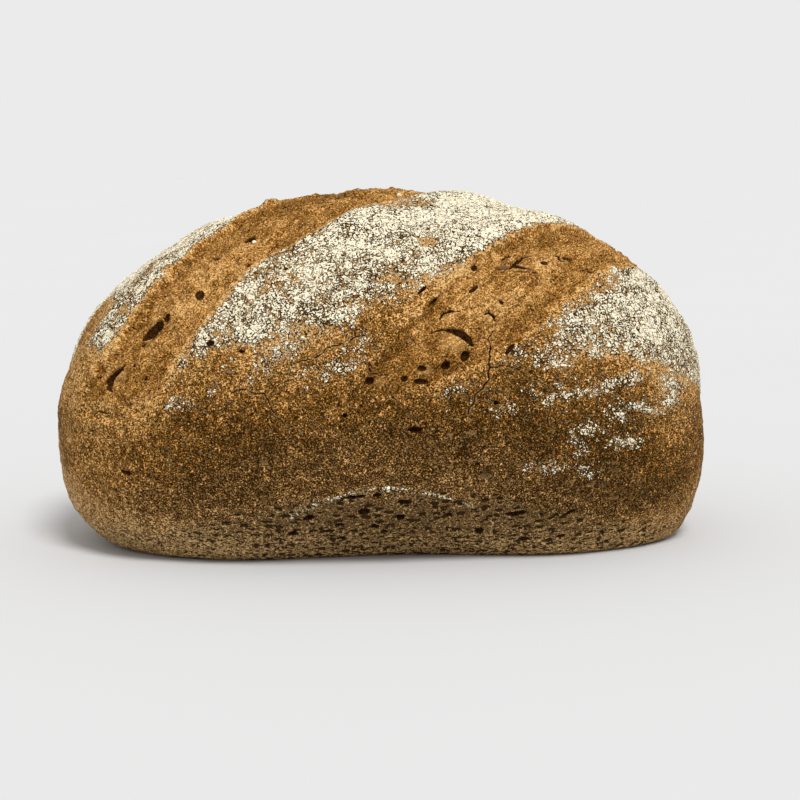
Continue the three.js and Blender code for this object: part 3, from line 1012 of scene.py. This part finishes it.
def warped_vector(tree, vector):
    shift = texture(tree, vector, noise(WARP_SCALE, output="Color"))
    shift = put(tree, "ShaderNodeVectorMath", {0: shift, 1: (0.5, 0.5, 0.5)}, operation="SUBTRACT")
    scaled = put(
        tree, "ShaderNodeVectorMath", {0: shift.outputs[0], "Scale": WARP_MM}, operation="SCALE"
    )
    moved = put(tree, "ShaderNodeVectorMath", {0: vector, 1: scaled.outputs[0]}, operation="ADD")
    return moved.outputs[0]


def channel(tree, value, name="Red"):
    return put(tree, "ShaderNodeSeparateColor", {"Color": value}).outputs[name]


def added(tree, start, *terms):
    """Start plus each texture's swing about its middle value, times a gain."""
    total = start
    for value, gain in terms:
        total = maths(tree, "MULTIPLY_ADD", value, gain, maths(tree, "SUBTRACT", total, gain / 2))
    return total


def thin_lines(tree, value, width):
    """1 on the lines where a noise passes its middle value, and 0 off them."""
    away = maths(tree, "ABSOLUTE", maths(tree, "SUBTRACT", value, 0.5))
    return between(tree, away, 0.0, width, 1.0, 0.0)


# From golden to dark brown
CRUST_SHADES = [
    (0.0, colour(218, 177, 118)),
    (0.12, colour(201, 154, 92)),
    (0.28, colour(173, 123, 61)),
    (0.46, colour(136, 90, 36)),
    (0.64, colour(102, 64, 13)),
    (0.82, colour(74, 47, 8)),
    (1.0, colour(42, 24, 2)),
]
DRY_SHADES = [
    (0.0, colour(230, 192, 136)),
    (0.35, colour(174, 137, 86)),
    (0.65, colour(121, 84, 40)),
    (1.0, colour(47, 25, 4)),
]
FLOUR_SHADES = [
    (0.0, colour(148, 124, 80)),
    (0.3, colour(204, 188, 150)),
    (0.6, colour(226, 216, 188)),
    (0.9, colour(243, 235, 211)),
]
PALE_GRAIN = colour(186, 150, 98)
CRACK_RIM = colour(200, 156, 96)
UNDER_FLOUR = colour(80, 57, 26)
FLOUR_GAP = colour(46, 28, 9)
PORE_WALL = colour(204, 166, 112)
PORE_PAINTED_SHADE = colour(45, 23, 4)
HOLE_PAINTED_SHADE = colour(40, 18, 3)
DRY_CONTRAST = 1.9
CRUST_GLOSS, CRUMB_GLOSS = 0.02, 0.05
CRUST_BUMPS = [("grain3", 1.1), ("grain6", 0.7), ("grit", 0.8)]
BUMP_MM, CRUMB_BUMP_MM = 0.8, 0.15

# How patchily flour lies: each noise with its gain
FLOUR_NOISE = [("plate", 0.3), ("grain3", 0.8), ("grain6", 0.9), ("grit", 1.1), ("widths", 1.0)]
FLOUR_STARTS = (0.42, 0.54)  # the density, with its noise, where flour starts and where it is thick
FLOUR_SHADE_NOISE = [("grain3", 1.2), ("grain6", 2.2), ("plate", 0.3), ("lumps", 0.6)]


def baked(tree, t):
    """Crust and opened dough, from golden to dark brown, with painted shade along fine creases, and pale
    grains.
    """
    fine = added(tree, 0.0, (t["grain6"], 1.25))
    coarse = added(tree, 0.0, (t["grain3"], 1.5), (t["grit"], 0.6))
    swing = maths(tree, "ADD", fine, coarse)
    calm = maths(tree, "MULTIPLY_ADD", t["opened"], -0.45, 1.5)
    calmer = maths(tree, "MULTIPLY_ADD", t["opened"], -0.9, 1.6)
    level = maths(tree, "MULTIPLY_ADD", fine, calm, added(tree, t["tone"], (t["widths"], 0.24)))
    level = maths(tree, "MULTIPLY_ADD", coarse, calmer, level)
    streaks = added(tree, 0.08, (t["streaks"], 0.5))
    level = maths(tree, "MULTIPLY_ADD", streaks, maths(tree, "MAXIMUM", t["opened"], 0.3), level)
    # Painted shade: darker along the creases of the opened dough and along fine crease lines
    level = maths(tree, "MULTIPLY_ADD", t["creases"], 0.22, level)
    level = maths(tree, "MULTIPLY_ADD", t["fine_creases"], 0.12, level)
    shown = ramp(tree, level, *CRUST_SHADES)
    dry = ramp(tree, maths(tree, "MULTIPLY_ADD", swing, DRY_CONTRAST, t["tone"]), *DRY_SHADES)
    shown = blended(tree, t["foot"], shown, dry)
    pale = between(tree, maths(tree, "MULTIPLY_ADD", t["grain9"], 0.6, t["grain3"]), 0.88, 0.98)
    pale = maths(tree, "MULTIPLY", pale, 0.55)
    return blended(tree, pale, shown, PALE_GRAIN)


def floury(tree, t):
    """Where flour hides the crust, from 0 to 1, its colour, and the gaps in it."""
    thick = maths(tree, "MINIMUM", t["flour"], 1.0)
    uneven = added(tree, 0.0, *((t[name], gain) for name, gain in FLOUR_NOISE))
    some = between(tree, t["flour"], 0.0, 0.25, 0.3, 1.0)
    level = maths(tree, "MULTIPLY_ADD", uneven, some, t["flour"])
    lies = between(tree, level, *FLOUR_STARTS)
    thickness = added(tree, level, (t["widths"], 0.6), (t["lumps"], 1.0))
    width = between(tree, thickness, 0.5, 1.2, 0.15, -0.07)
    gap = maths(tree, "SUBTRACT", t["crackle"], width)
    gap = between(tree, added(tree, gap, (t["grain6"], 0.1)), 0.0, 0.04, 1.0, 0.0)
    split = between(tree, added(tree, t["splits"], (t["grain6"], 0.12)), 0.0, 0.05, 1.0, 0.0)
    split = maths(tree, "MULTIPLY", split, between(tree, t["widths"], 0.38, 0.5))
    gap = maths(tree, "MAXIMUM", gap, split)
    cover = maths(tree, "MULTIPLY", lies, maths(tree, "SUBTRACT", 1.0, gap))
    shade = added(tree, 0.46, *((t[name], gain) for name, gain in FLOUR_SHADE_NOISE))
    shade = maths(tree, "MULTIPLY_ADD", thick, 0.5, maths(tree, "SUBTRACT", shade, 0.32))
    return cover, ramp(tree, shade, *FLOUR_SHADES), maths(tree, "MULTIPLY", gap, lies)


def pore_shade(tree, t):
    """How much painted shade darkens the inside of a pore here, and how pale its rim is, from 0 to 1."""
    shade, rim = 0.0, 0.0
    for scale, share, dark, least, more in PORE_LAYERS:
        away = texture(tree, t["pore_place"], cells(scale, flat=True))
        picked = texture(tree, t["pore_place"], cells(scale, output="Color", flat=True))
        share = maths(tree, "MULTIPLY", t["porous"], share)
        opened = between(tree, maths(tree, "SUBTRACT", share, channel(tree, picked)), 0.0, 0.05)
        past = maths(tree, "MULTIPLY_ADD", channel(tree, picked, "Green"), -more, away)
        deep = between(tree, past, least - PORE_RIM, least, dark, 0.0)
        shade = maths(tree, "MAXIMUM", shade, maths(tree, "MULTIPLY", opened, deep))
        near = between(tree, past, least, least + 1.6 * PORE_RIM, 1.0, 0.0)
        rim = maths(tree, "MAXIMUM", rim, maths(tree, "MULTIPLY", opened, near))
    return shade, rim


def crust_textures(tree):
    """The textures and stored fields that the crust's material is made from."""
    rest = attribute(tree, "rest", "Vector")
    grain = attribute(tree, "grain", "Vector")
    bent = warped_vector(tree, rest)
    opened = between(tree, attribute(tree, "opened", "Fac"), -0.4, 1.4)
    t = dict(
        lumps=texture(tree, rest, noise(0.07, 3)),
        widths=texture(tree, rest, WIDTHS),
        grit=texture(tree, rest, GRIT),
        grain3=texture(tree, rest, GRAIN3),
        grain6=texture(tree, rest, GRAIN6),
        grain9=texture(tree, bent, noise(3.4, 1)),
        crackle=texture(tree, bent, cells(CRACKLE_SCALE, "DISTANCE_TO_EDGE")),
        splits=texture(tree, bent, cells(SPLIT_SCALE, "DISTANCE_TO_EDGE")),
        plate=channel(tree, texture(tree, bent, cells(CRACKLE_SCALE, "F1", "Color"))),
        pore_place=attribute(tree, "pore_place", "Vector"),
        streaks=texture(tree, grain, noise(0.5, 4, 0.6)),
        opened=opened,
    )
    for name in ("flour", "tone", "porous", "foot", "rim"):
        t[name] = attribute(tree, name, "Fac")
    # Crease lines: lowered in the bump, and darkened with painted shade in the colour
    creases = thin_lines(tree, texture(tree, grain, FOLD), 0.04)
    t["creases"] = maths(tree, "MULTIPLY", creases, maths(tree, "MULTIPLY_ADD", opened, 0.75, 0.25))
    t["fine_creases"] = thin_lines(tree, texture(tree, bent, noise(0.55, 2, 0.6)), 0.05)
    return t


def crust_material():
    material, tree, shader = new_material("baked_crust")
    t = crust_textures(tree)
    crust = baked(tree, t)
    crust = blended(tree, maths(tree, "MULTIPLY", t["rim"], 0.28), crust, CRACK_RIM)
    cover, dust, gap = floury(tree, t)
    pores, pore_rim = pore_shade(tree, t)
    # Painted shade in the holes, pits, cracks and tears
    hollow = between(tree, attribute(tree, "hollow", "Fac"), 0.2, 0.65)
    inside = maths(tree, "MAXIMUM", hollow, pores)
    cover = maths(tree, "MULTIPLY", cover, maths(tree, "SUBTRACT", 1.0, inside))
    dusty = between(tree, t["flour"], 0.3, 0.8, 0.0, 0.6)
    crust = blended(tree, dusty, crust, UNDER_FLOUR)
    crust = blended(tree, maths(tree, "MULTIPLY", gap, 0.92), crust, FLOUR_GAP)
    shown = blended(tree, cover, crust, dust)
    # Pale pore rims, then painted shade in the pores and in the holes
    layers = [(pore_rim, 0.95, PORE_WALL), (pores, 0.92, PORE_PAINTED_SHADE), (hollow, 0.93, HOLE_PAINTED_SHADE)]
    for place, share, shade in layers:
        shown = blended(tree, maths(tree, "MULTIPLY", place, share), shown, shade)
    tree.links.new(shown, shader.inputs["Base Color"])
    rough = between(tree, t["grain3"], 0.3, 0.7, 0.5, 0.75)
    rough = put(tree, "ShaderNodeMix", {0: cover, 2: rough, 3: 0.95}).outputs[0]
    tree.links.new(rough, shader.inputs["Roughness"])
    shader.inputs["Specular IOR Level"].default_value = CRUST_GLOSS
    height = added(tree, 0.0, *((t[name], gain) for name, gain in CRUST_BUMPS))
    marks = [(cover, 0.3), (t["creases"], -0.25), (t["fine_creases"], -0.12), (pores, -0.6)]
    for mark, lift in marks:
        height = maths(tree, "MULTIPLY_ADD", mark, lift, height)
    bump = put(tree, "ShaderNodeBump", {"Height": height, "Strength": 1.0, "Distance": BUMP_MM * MM})
    tree.links.new(bump.outputs[0], shader.inputs["Normal"])
    return material


def crumb_material(name, dark, pale, scale, roughness=0.95):
    """Small loose things: each piece has its own shade, with a fine grain on it."""
    material, tree, shader = new_material(name)
    own = attribute(tree, "shade", "Fac")
    place = put(tree, "ShaderNodeTexCoord").outputs["Object"]
    grain = texture(tree, place, noise(scale / MM, 3, 0.6))
    level = maths(tree, "MULTIPLY_ADD", own, 0.7, maths(tree, "MULTIPLY_ADD", grain, 0.8, -0.25))
    shown = ramp(tree, level, (0.0, dark), (1.0, pale))
    tree.links.new(shown, shader.inputs["Base Color"])
    shader.inputs["Roughness"].default_value = roughness
    shader.inputs["Specular IOR Level"].default_value = CRUMB_GLOSS
    bump = {"Height": grain, "Strength": 0.6, "Distance": CRUMB_BUMP_MM * MM}
    bump = put(tree, "ShaderNodeBump", bump)
    tree.links.new(bump.outputs[0], shader.inputs["Normal"])
    return material


# ---------------------------------------------------------------- pieces


def make_crust():
    points, quads, fields, detail = crust_points()
    crust = mesh_object("loaf_crust", points, quads)
    for name, values in fields.items():
        store(crust.data, name, values)
    thinned(crust, CRUST_FACES, detail)
    add_map(crust.data)
    crust.data.materials.append(crust_material())
    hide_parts("loaf")
    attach(crust, "root")
    return crust


def scattered(mesh, weight, count, *names):
    """Random places on a mesh, more of them where weight is high.

    Gives the points, the outward vectors and the stored fields of those names at the points.
    """
    corners = np.empty(len(mesh.loops), np.int32)
    mesh.loops.foreach_get("vertex_index", corners)
    size = len(mesh.loops) // len(mesh.polygons)
    corners = corners.reshape(-1, size)[:, :3]
    place = read(mesh, "position", 3) / MM
    a, b, c = (place[corners[:, k]] for k in range(3))
    normal = np.cross(b - a, c - a)
    area = np.linalg.norm(normal, axis=1)
    chance = area * weight[corners].mean(1)
    faces = rng.choice(len(corners), count, p=chance / chance.sum())
    u, v = rng.random((2, count))
    flip = u + v > 1
    u, v = np.where(flip, 1 - u, u), np.where(flip, 1 - v, v)
    shares = np.stack([1 - u - v, u, v], 1)

    def there(values):
        return np.einsum("nk,nk...->n...", shares, values[corners[faces]])

    normals = normal[faces] / area[faces, None]
    return there(place), normals, *(there(read(mesh, *name)) for name in names)


def clumps(name, points, normals, radius, height, sides, sink, ragged=0.35):
    """Low irregular lumps, each one closed, as one mesh with its own shade for each lump."""
    count = len(points)
    helper = np.where(np.abs(normals[:, 2:]) < 0.9, [[0, 0, 1.0]], [[1.0, 0, 0]])
    first = np.cross(normals, helper)
    first /= np.linalg.norm(first, axis=1)[:, None]
    second = np.cross(normals, first)
    turn = rng.uniform(0, 2 * np.pi, count)[:, None] + np.arange(sides) * 2 * np.pi / sides
    stretch = rng.uniform(0.6, 1.0, (count, 1))
    rings = []
    for share, level in ((0.9, -sink), (1.0, 0.25), (0.62, 1.0)):
        reach = radius[:, None] * share * rng.uniform(1 - ragged, 1 + 0.8 * ragged, (count, sides))
        lift = height[:, None] * level * rng.uniform(0.85, 1.15, (count, sides))
        flat = (
            first[:, None] * (np.cos(turn) * reach)[..., None]
            + second[:, None] * (np.sin(turn) * reach * stretch)[..., None]
        )
        rings.append(points[:, None] + flat + normals[:, None] * lift[..., None])
    bottom = points[:, None] - normals[:, None] * (height * sink)[:, None, None]
    top = points[:, None] + normals[:, None] * (height * 1.1)[:, None, None]
    vertices = np.concatenate([bottom, *rings, top], 1)
    ring = np.arange(sides)
    following = (ring + 1) % sides
    starts = [1, 1 + sides, 1 + 2 * sides]
    last = 1 + 3 * sides
    faces = [np.stack([np.zeros(sides, int), starts[0] + following, starts[0] + ring], 1)]
    for low, high in zip(starts, starts[1:]):
        faces.append(np.stack([low + ring, low + following, high + following], 1))
        faces.append(np.stack([low + ring, high + following, high + ring], 1))
    faces.append(np.stack([starts[2] + ring, starts[2] + following, np.full(sides, last)], 1))
    one = np.concatenate(faces)
    each = last + 1
    everything = (one[None] + np.arange(count)[:, None, None] * each).reshape(-1, 3)
    piece = mesh_object(name, vertices.reshape(-1, 3), everything, smooth=ragged < 0.2)
    store(piece.data, "shade", np.repeat(rng.random(count), each))
    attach(piece, "root")
    return piece


def flour_lies(rest, density):
    """The density with the same noise as the crust's material."""
    some = 0.3 + 0.7 * smoothstep(density, 0, 0.25)
    plate = sampled(warped(rest), plate=cells(CRACKLE_SCALE, "F1", "Color"))["plate"][:, 0]
    f = sampled(
        rest,
        grain3=GRAIN3,
        grain6=GRAIN6,
        grit=GRIT,
        widths=WIDTHS,
    )
    f["plate"] = plate
    return density + some * sum((f[name] - 0.5) * gain for name, gain in FLOUR_NOISE)


def place_on(mesh, x, s):
    """The vertex nearest to a place on the unrolled plan, with its outward vector."""
    rest = read(mesh, "rest", 3)
    index = np.argmin(np.hypot(rest[:, 0] - x, girth_of(rest) * GIRTH_MM - s))
    normals = np.empty(len(mesh.vertices) * 3, np.float32)
    mesh.vertices.foreach_get("normal", normals)
    return read(mesh, "position", 3)[index] / MM, normals.reshape(-1, 3)[index].astype(float)


# Loose things: how many, the spread of their radii (a gamma spread's shape and scale), and their
# height as a share of the radius
CLUMP_TRIES, CLUMP_COUNT = ((30000, 4800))
CLUMP_RADII, CLUMP_LARGEST, CLUMP_RISE = (4.0, 0.09), 0.7, 0.24
LARGE_CLUMP_RISE = 0.8
SPECK_COUNT = 3600
SPECK_RADII, SPECK_RISE = (5.0, 0.034), 0.7
FLAKE_COUNT = 260
FLAKE_RADII, FLAKE_THICKNESS = (0.35, 0.9), 0.16  # from the least to the most, in mm
GRAIN_RISE = 0.42
CRUMB_GRAIN, FLAKE_GRAIN = 1.4, 0.9  # scales of their colour's noise, in waves a mm
FLAKE_ROUGHNESS = 0.6
LARGE_CLUMPS = [(5.4, -8.9, 1.5), (15.7, -3.5, 1.2), (-51.2, -38.7, 0.9)]  # x, s, radius
GRAIN_FLAKES = [(38.5, -57.6, 2.1), (48.9, -57.0, 1.8)]  # x, s, radius


def add_flour_clumps(mesh, flour, clear):
    """Clumps where flour lies thick, the largest ones first, where the photo has them."""
    thick = smoothstep(flour, 0.15, 0.9) * clear
    points, normals, rest, density = scattered(mesh, thick, CLUMP_TRIES, ("rest", 3), ("flour", 1))
    kept = np.flatnonzero(flour_lies(rest, density) > FLOUR_STARTS[1])[:CLUMP_COUNT]
    radius = np.minimum(rng.gamma(*CLUMP_RADII, len(kept)), CLUMP_LARGEST)
    height = radius * CLUMP_RISE
    for index, (x, s, size) in enumerate(LARGE_CLUMPS):
        points[kept[index]], normals[kept[index]] = place_on(mesh, x, s)
        radius[index], height[index] = size, size * LARGE_CLUMP_RISE
    lumps = clumps("flour_clumps", points[kept], normals[kept], radius, height, 5, 0.5)
    dark, pale = FLOUR_SHADES[1][1], FLOUR_SHADES[3][1]
    lumps.data.materials.append(crumb_material("dry_flour", dark, pale, CRUMB_GRAIN))


def add_flour_specks(mesh, flour, clear):
    """Specks round the flour, and a few of them all over the crust."""
    thin = (0.006 + smoothstep(flour, 0.1, 0.4)) * clear * (1 - smoothstep(flour, 0.6, 1.1))
    points, normals = scattered(mesh, thin, SPECK_COUNT)
    radius = rng.gamma(*SPECK_RADII, SPECK_COUNT)
    specks = clumps("flour_specks", points, normals, radius, radius * SPECK_RISE, 5, 0.5)
    dark, pale = colour(150, 118, 70), colour(226, 202, 158)
    specks.data.materials.append(crumb_material("toasted_flour", dark, pale, CRUMB_GRAIN))


def add_flour(crust):
    flour = read(crust.data, "flour", 1)
    clear = read(crust.data, "hollow", 1) < 0.1
    add_flour_clumps(crust.data, flour, clear)
    add_flour_specks(crust.data, flour, clear)


def add_bran(crust):
    """Toasted flakes of bran all over the crust, more of them on the opened dough."""
    weight = 0.3 + smoothstep(read(crust.data, "opened", 1), 0, 2)
    points, normals = scattered(crust.data, weight, FLAKE_COUNT)
    radius = rng.uniform(*FLAKE_RADII, FLAKE_COUNT)
    thickness = np.full(FLAKE_COUNT, FLAKE_THICKNESS)
    flakes = clumps("bran_flakes", points, normals, radius, thickness, 6, 0.6)
    dark, pale = colour(58, 34, 16), colour(150, 108, 62)
    material = crumb_material("toasted_bran", dark, pale, FLAKE_GRAIN, FLAKE_ROUGHNESS)
    flakes.data.materials.append(material)


def add_grain(crust):
    """Broken grains that stick out of the opened dough."""
    places = [place_on(crust.data, x, s) for x, s, _ in GRAIN_FLAKES]
    points, normals = (np.array(values) for values in zip(*places))
    radius = np.array([size for _, _, size in GRAIN_FLAKES])
    grains = clumps("grain_flakes", points, normals, radius, radius * GRAIN_RISE, 12, 1.0, ragged=0.19)
    dark, pale = colour(44, 28, 14), colour(108, 84, 56)
    material = crumb_material("cracked_grain", dark, pale, FLAKE_GRAIN, FLAKE_ROUGHNESS)
    grains.data.materials.append(material)


# ---------------------------------------------------------------- camera, light and floor

PHOTO_WIDTH = 800
FOCAL_PIXELS = 1800.4
SENSOR_MM = 36.0
VIEW_AZIMUTH = -6.0
VIEW_ELEVATION = 8.0
VIEW_DISTANCE = 700.0
AIM_HEIGHT = 65.0
AIM_RIGHT, AIM_UP = 6.6, -13.1  # the loaf lies left of and above the photo's middle
CLIP_START = 0.01  # metres


def direction(azimuth, elevation):
    a, e = math.radians(azimuth), math.radians(elevation)
    return np.array([math.sin(a) * math.cos(e), -math.cos(a) * math.cos(e), math.sin(e)])


def add_camera():
    back = direction(VIEW_AZIMUTH, VIEW_ELEVATION)
    right = np.array([math.cos(math.radians(VIEW_AZIMUTH)), math.sin(math.radians(VIEW_AZIMUTH)), 0])
    up = np.cross(back, right)
    aim = np.array([0, 0, AIM_HEIGHT]) + right * AIM_RIGHT + up * AIM_UP
    data = bpy.data.cameras.new("camera")
    data.sensor_width = SENSOR_MM
    data.lens = SENSOR_MM * FOCAL_PIXELS / PHOTO_WIDTH
    data.clip_start = CLIP_START
    camera = bpy.data.objects.new("camera", data)
    camera.location = (aim + back * VIEW_DISTANCE) * MM
    camera.rotation_euler = (math.radians(90 - VIEW_ELEVATION), 0, math.radians(VIEW_AZIMUTH))
    bpy.context.scene.collection.objects.link(camera)
    bpy.context.scene.camera = camera


BACKDROP = 0.83  # how bright the floor and the world look, on a scale where 1 is white
KEY_AZIMUTH, KEY_ELEVATION = 15.0, 56.0
KEY_SHARE = 0.72  # what the key light adds on level ground, where the world gives BACKDROP
KEY_SPREAD = 20.0  # degrees across
FLOOR_HALF = 9000.0
FLOOR_MOTTLE = 0.005  # how far the paint's shade strays either way, as a share of it


def add_lights():
    data = bpy.data.lights.new("key", "SUN")
    data.energy = KEY_SHARE * math.pi / math.sin(math.radians(KEY_ELEVATION))
    data.angle = math.radians(KEY_SPREAD)
    light = bpy.data.objects.new("key", data)
    light.location = direction(KEY_AZIMUTH, KEY_ELEVATION)
    light.rotation_euler = (math.radians(90 - KEY_ELEVATION), 0, math.radians(KEY_AZIMUTH))
    bpy.context.scene.collection.objects.link(light)
    world = bpy.data.worlds.new("studio")
    world.use_nodes = True
    world.node_tree.nodes["Background"].inputs[0].default_value = (1, 1, 1, 1)
    world.node_tree.nodes["Background"].inputs[1].default_value = BACKDROP
    bpy.context.scene.world = world
    bpy.context.scene.view_settings.view_transform = "Standard"


def add_floor():
    """A matte floor that the lights bring to the brightness of the world behind it."""
    corners = FLOOR_HALF * np.array([(-1, -1, 0), (1, -1, 0), (1, 1, 0), (-1, 1, 0)])
    floor = mesh_object("floor", corners, np.array([[0, 1, 2, 3]]))
    material, tree, shader = new_material("floor_paint")
    place = put(tree, "ShaderNodeTexCoord").outputs["Object"]
    paint = BACKDROP / (BACKDROP + KEY_SHARE)
    shades = [(paint * (1 + stray),) * 3 + (1,) for stray in (-FLOOR_MOTTLE, FLOOR_MOTTLE)]
    shown = ramp(tree, texture(tree, place, noise(3.0, 2)), *zip((0.3, 0.7), shades))
    tree.links.new(shown, shader.inputs["Base Color"])
    shader.inputs["Roughness"].default_value = 1.0
    shader.inputs["Specular IOR Level"].default_value = 0.0
    floor.data.materials.append(material)


add_camera()
add_lights()
add_floor()
loaf = make_crust()
add_flour(loaf)
add_bran(loaf)
add_grain(loaf)
